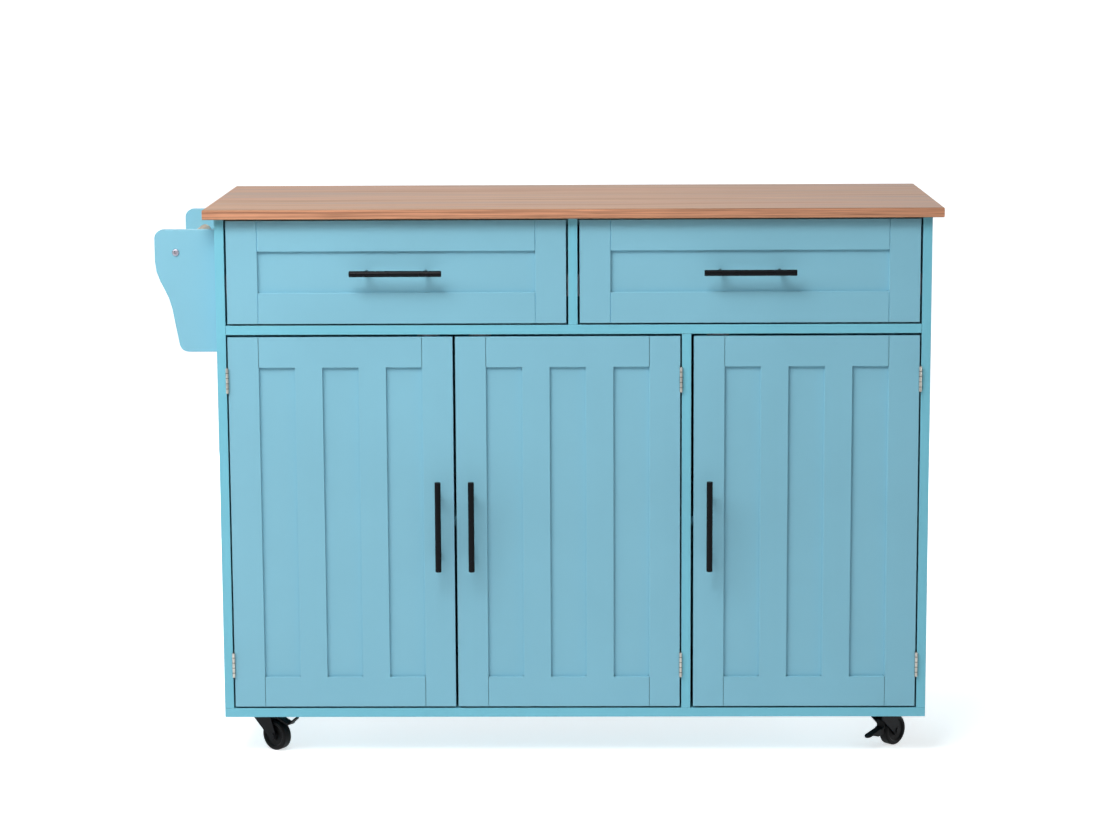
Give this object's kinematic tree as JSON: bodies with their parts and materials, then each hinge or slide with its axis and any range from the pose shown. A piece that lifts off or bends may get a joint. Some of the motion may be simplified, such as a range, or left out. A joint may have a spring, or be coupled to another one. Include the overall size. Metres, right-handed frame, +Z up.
{
  "type": "kitchen island unit",
  "caption": "Mobile kitchen island: a wooden worktop over drawers and framed hinged doors, with a towel rail on one side and swivel casters below.",
  "frame": {"origin": "on the floor, under the middle of the unit's bounding box", "axes": "+X along the unit's length to the right as one faces the doors, +Y from the doors to the back, +Z up through the worktop"},
  "size_m": [1.2788, 0.483, 0.9133],
  "materials": {
    "paint": "satin turquoise-blue paint on board",
    "worktop_wood": "satin lacquered wood, fine long grain",
    "rail_wood": "matt beige-brown wood",
    "drawer_board": "matt white foil on board",
    "pull_metal": "satin black coating",
    "hinge_metal": "satin nickel plating",
    "runner_steel": "zinc plating",
    "caster_metal": "black coating",
    "caster_plastic": "black nylon"
  },
  "bodies": {
    "cabinet": {"bottom_panel": "paint", "side_panel_left": "paint", "side_panel_right": "paint", "deck_panel": "paint", "door_divider": "paint", "drawer_divider": "paint", "front_stretcher": "paint", "rear_stretcher": "paint", "back_panel": "paint", "shelf_left": "paint", "shelf_right": "paint", "worktop": "worktop_wood", "hinge_left_top_frame_leaf": "hinge_metal", "hinge_left_bottom_frame_leaf": "hinge_metal", "hinge_middle_top_frame_leaf": "hinge_metal", "hinge_middle_bottom_frame_leaf": "hinge_metal", "hinge_right_top_frame_leaf": "hinge_metal", "hinge_right_bottom_frame_leaf": "hinge_metal", "runner_left_drawer_left": "runner_steel", "runner_left_drawer_right": "runner_steel", "runner_right_drawer_left": "runner_steel", "runner_right_drawer_right": "runner_steel", "towel_bracket_front": "paint", "towel_bracket_rear": "paint", "towel_rail": "rail_wood", "caster_plate_front_left": "caster_metal", "caster_plate_front_right": "caster_metal", "caster_plate_rear_left": "caster_metal", "caster_plate_rear_right": "caster_metal"},
    "door_left": {"door_left": "paint", "door_pull_left": "pull_metal", "hinge_left_top_door_leaf": "hinge_metal", "hinge_left_bottom_door_leaf": "hinge_metal"},
    "door_middle": {"door_middle": "paint", "door_pull_middle": "pull_metal", "hinge_middle_top_door_leaf": "hinge_metal", "hinge_middle_bottom_door_leaf": "hinge_metal"},
    "door_right": {"door_right": "paint", "door_pull_right": "pull_metal", "hinge_right_top_door_leaf": "hinge_metal", "hinge_right_bottom_door_leaf": "hinge_metal"},
    "drawer_left": {"drawer_front_left": "paint", "drawer_box_left": "drawer_board", "drawer_bottom_left": "drawer_board", "drawer_pull_left": "pull_metal"},
    "drawer_right": {"drawer_front_right": "paint", "drawer_box_right": "drawer_board", "drawer_bottom_right": "drawer_board", "drawer_pull_right": "pull_metal"},
    "fork_front_left": {"caster_fork_front_left": "caster_metal"},
    "fork_front_right": {"caster_fork_front_right": "caster_metal"},
    "fork_rear_left": {"caster_fork_rear_left": "caster_metal"},
    "fork_rear_right": {"caster_fork_rear_right": "caster_metal"},
    "wheel_front_left": {"caster_wheel_front_left": "caster_plastic"},
    "wheel_front_right": {"caster_wheel_front_right": "caster_plastic"},
    "wheel_rear_left": {"caster_wheel_rear_left": "caster_plastic"},
    "wheel_rear_right": {"caster_wheel_rear_right": "caster_plastic"},
    "brake_front_left": {"caster_brake_front_left": "caster_plastic"},
    "brake_front_right": {"caster_brake_front_right": "caster_plastic"}
  },
  "joints": [
    {"name": "door_left_hinge", "type": "hinge", "parent": "cabinet", "child": "door_left", "pos_m": [-0.52125, -0.2073, 0.395], "axis": [0, 0, -1], "range_deg": [0, 170]},
    {"name": "door_middle_hinge", "type": "hinge", "parent": "cabinet", "child": "door_middle", "pos_m": [0.21775, -0.2073, 0.395], "axis": [0, 0, 1], "range_deg": [0, 130]},
    {"name": "door_right_hinge", "type": "hinge", "parent": "cabinet", "child": "door_right", "pos_m": [0.606, -0.2073, 0.395], "axis": [0, 0, 1], "range_deg": [0, 170]},
    {"name": "drawer_left_slide", "type": "slide", "parent": "cabinet", "child": "drawer_left", "axis": [0, -1, 0], "range_m": [0, 0.27]},
    {"name": "drawer_right_slide", "type": "slide", "parent": "cabinet", "child": "drawer_right", "axis": [0, -1, 0], "range_m": [0, 0.27]},
    {"name": "swivel_front_left", "type": "hinge", "parent": "cabinet", "child": "fork_front_left", "pos_m": [-0.47563, -0.1435, 0.0586], "axis": [0, 0, 1], "continuous": true},
    {"name": "wheel_front_left_axle", "type": "hinge", "parent": "fork_front_left", "child": "wheel_front_left", "pos_m": [-0.45742, -0.15673, 0.0254], "axis": [0.5878, 0.809, 0], "continuous": true},
    {"name": "brake_front_left_rocker", "type": "hinge", "parent": "fork_front_left", "child": "brake_front_left", "pos_m": [-0.46632, -0.15026, 0.05262], "axis": [0.5878, 0.809, 0], "range_deg": [0, 10]},
    {"name": "swivel_front_right", "type": "hinge", "parent": "cabinet", "child": "fork_front_right", "pos_m": [0.56037, -0.1435, 0.0586], "axis": [0, 0, 1], "continuous": true},
    {"name": "wheel_front_right_axle", "type": "hinge", "parent": "fork_front_right", "child": "wheel_front_right", "pos_m": [0.57629, -0.12759, 0.0254], "axis": [-0.7071, 0.7071, 0], "continuous": true},
    {"name": "brake_front_right_rocker", "type": "hinge", "parent": "fork_front_right", "child": "brake_front_right", "pos_m": [0.56851, -0.13537, 0.05262], "axis": [-0.7071, 0.7071, 0], "range_deg": [0, 10]},
    {"name": "swivel_rear_left", "type": "hinge", "parent": "cabinet", "child": "fork_rear_left", "pos_m": [-0.47563, 0.1645, 0.0586], "axis": [0, 0, 1], "continuous": true},
    {"name": "wheel_rear_left_axle", "type": "hinge", "parent": "fork_rear_left", "child": "wheel_rear_left", "pos_m": [-0.45523, 0.17401, 0.0254], "axis": [-0.4226, 0.9063, 0], "continuous": true},
    {"name": "swivel_rear_right", "type": "hinge", "parent": "cabinet", "child": "fork_rear_right", "pos_m": [0.56037, 0.1645, 0.0586], "axis": [0, 0, 1], "continuous": true},
    {"name": "wheel_rear_right_axle", "type": "hinge", "parent": "fork_rear_right", "child": "wheel_rear_right", "pos_m": [0.53998, 0.17401, 0.0254], "axis": [-0.4226, -0.9063, 0], "continuous": true}
  ]
}
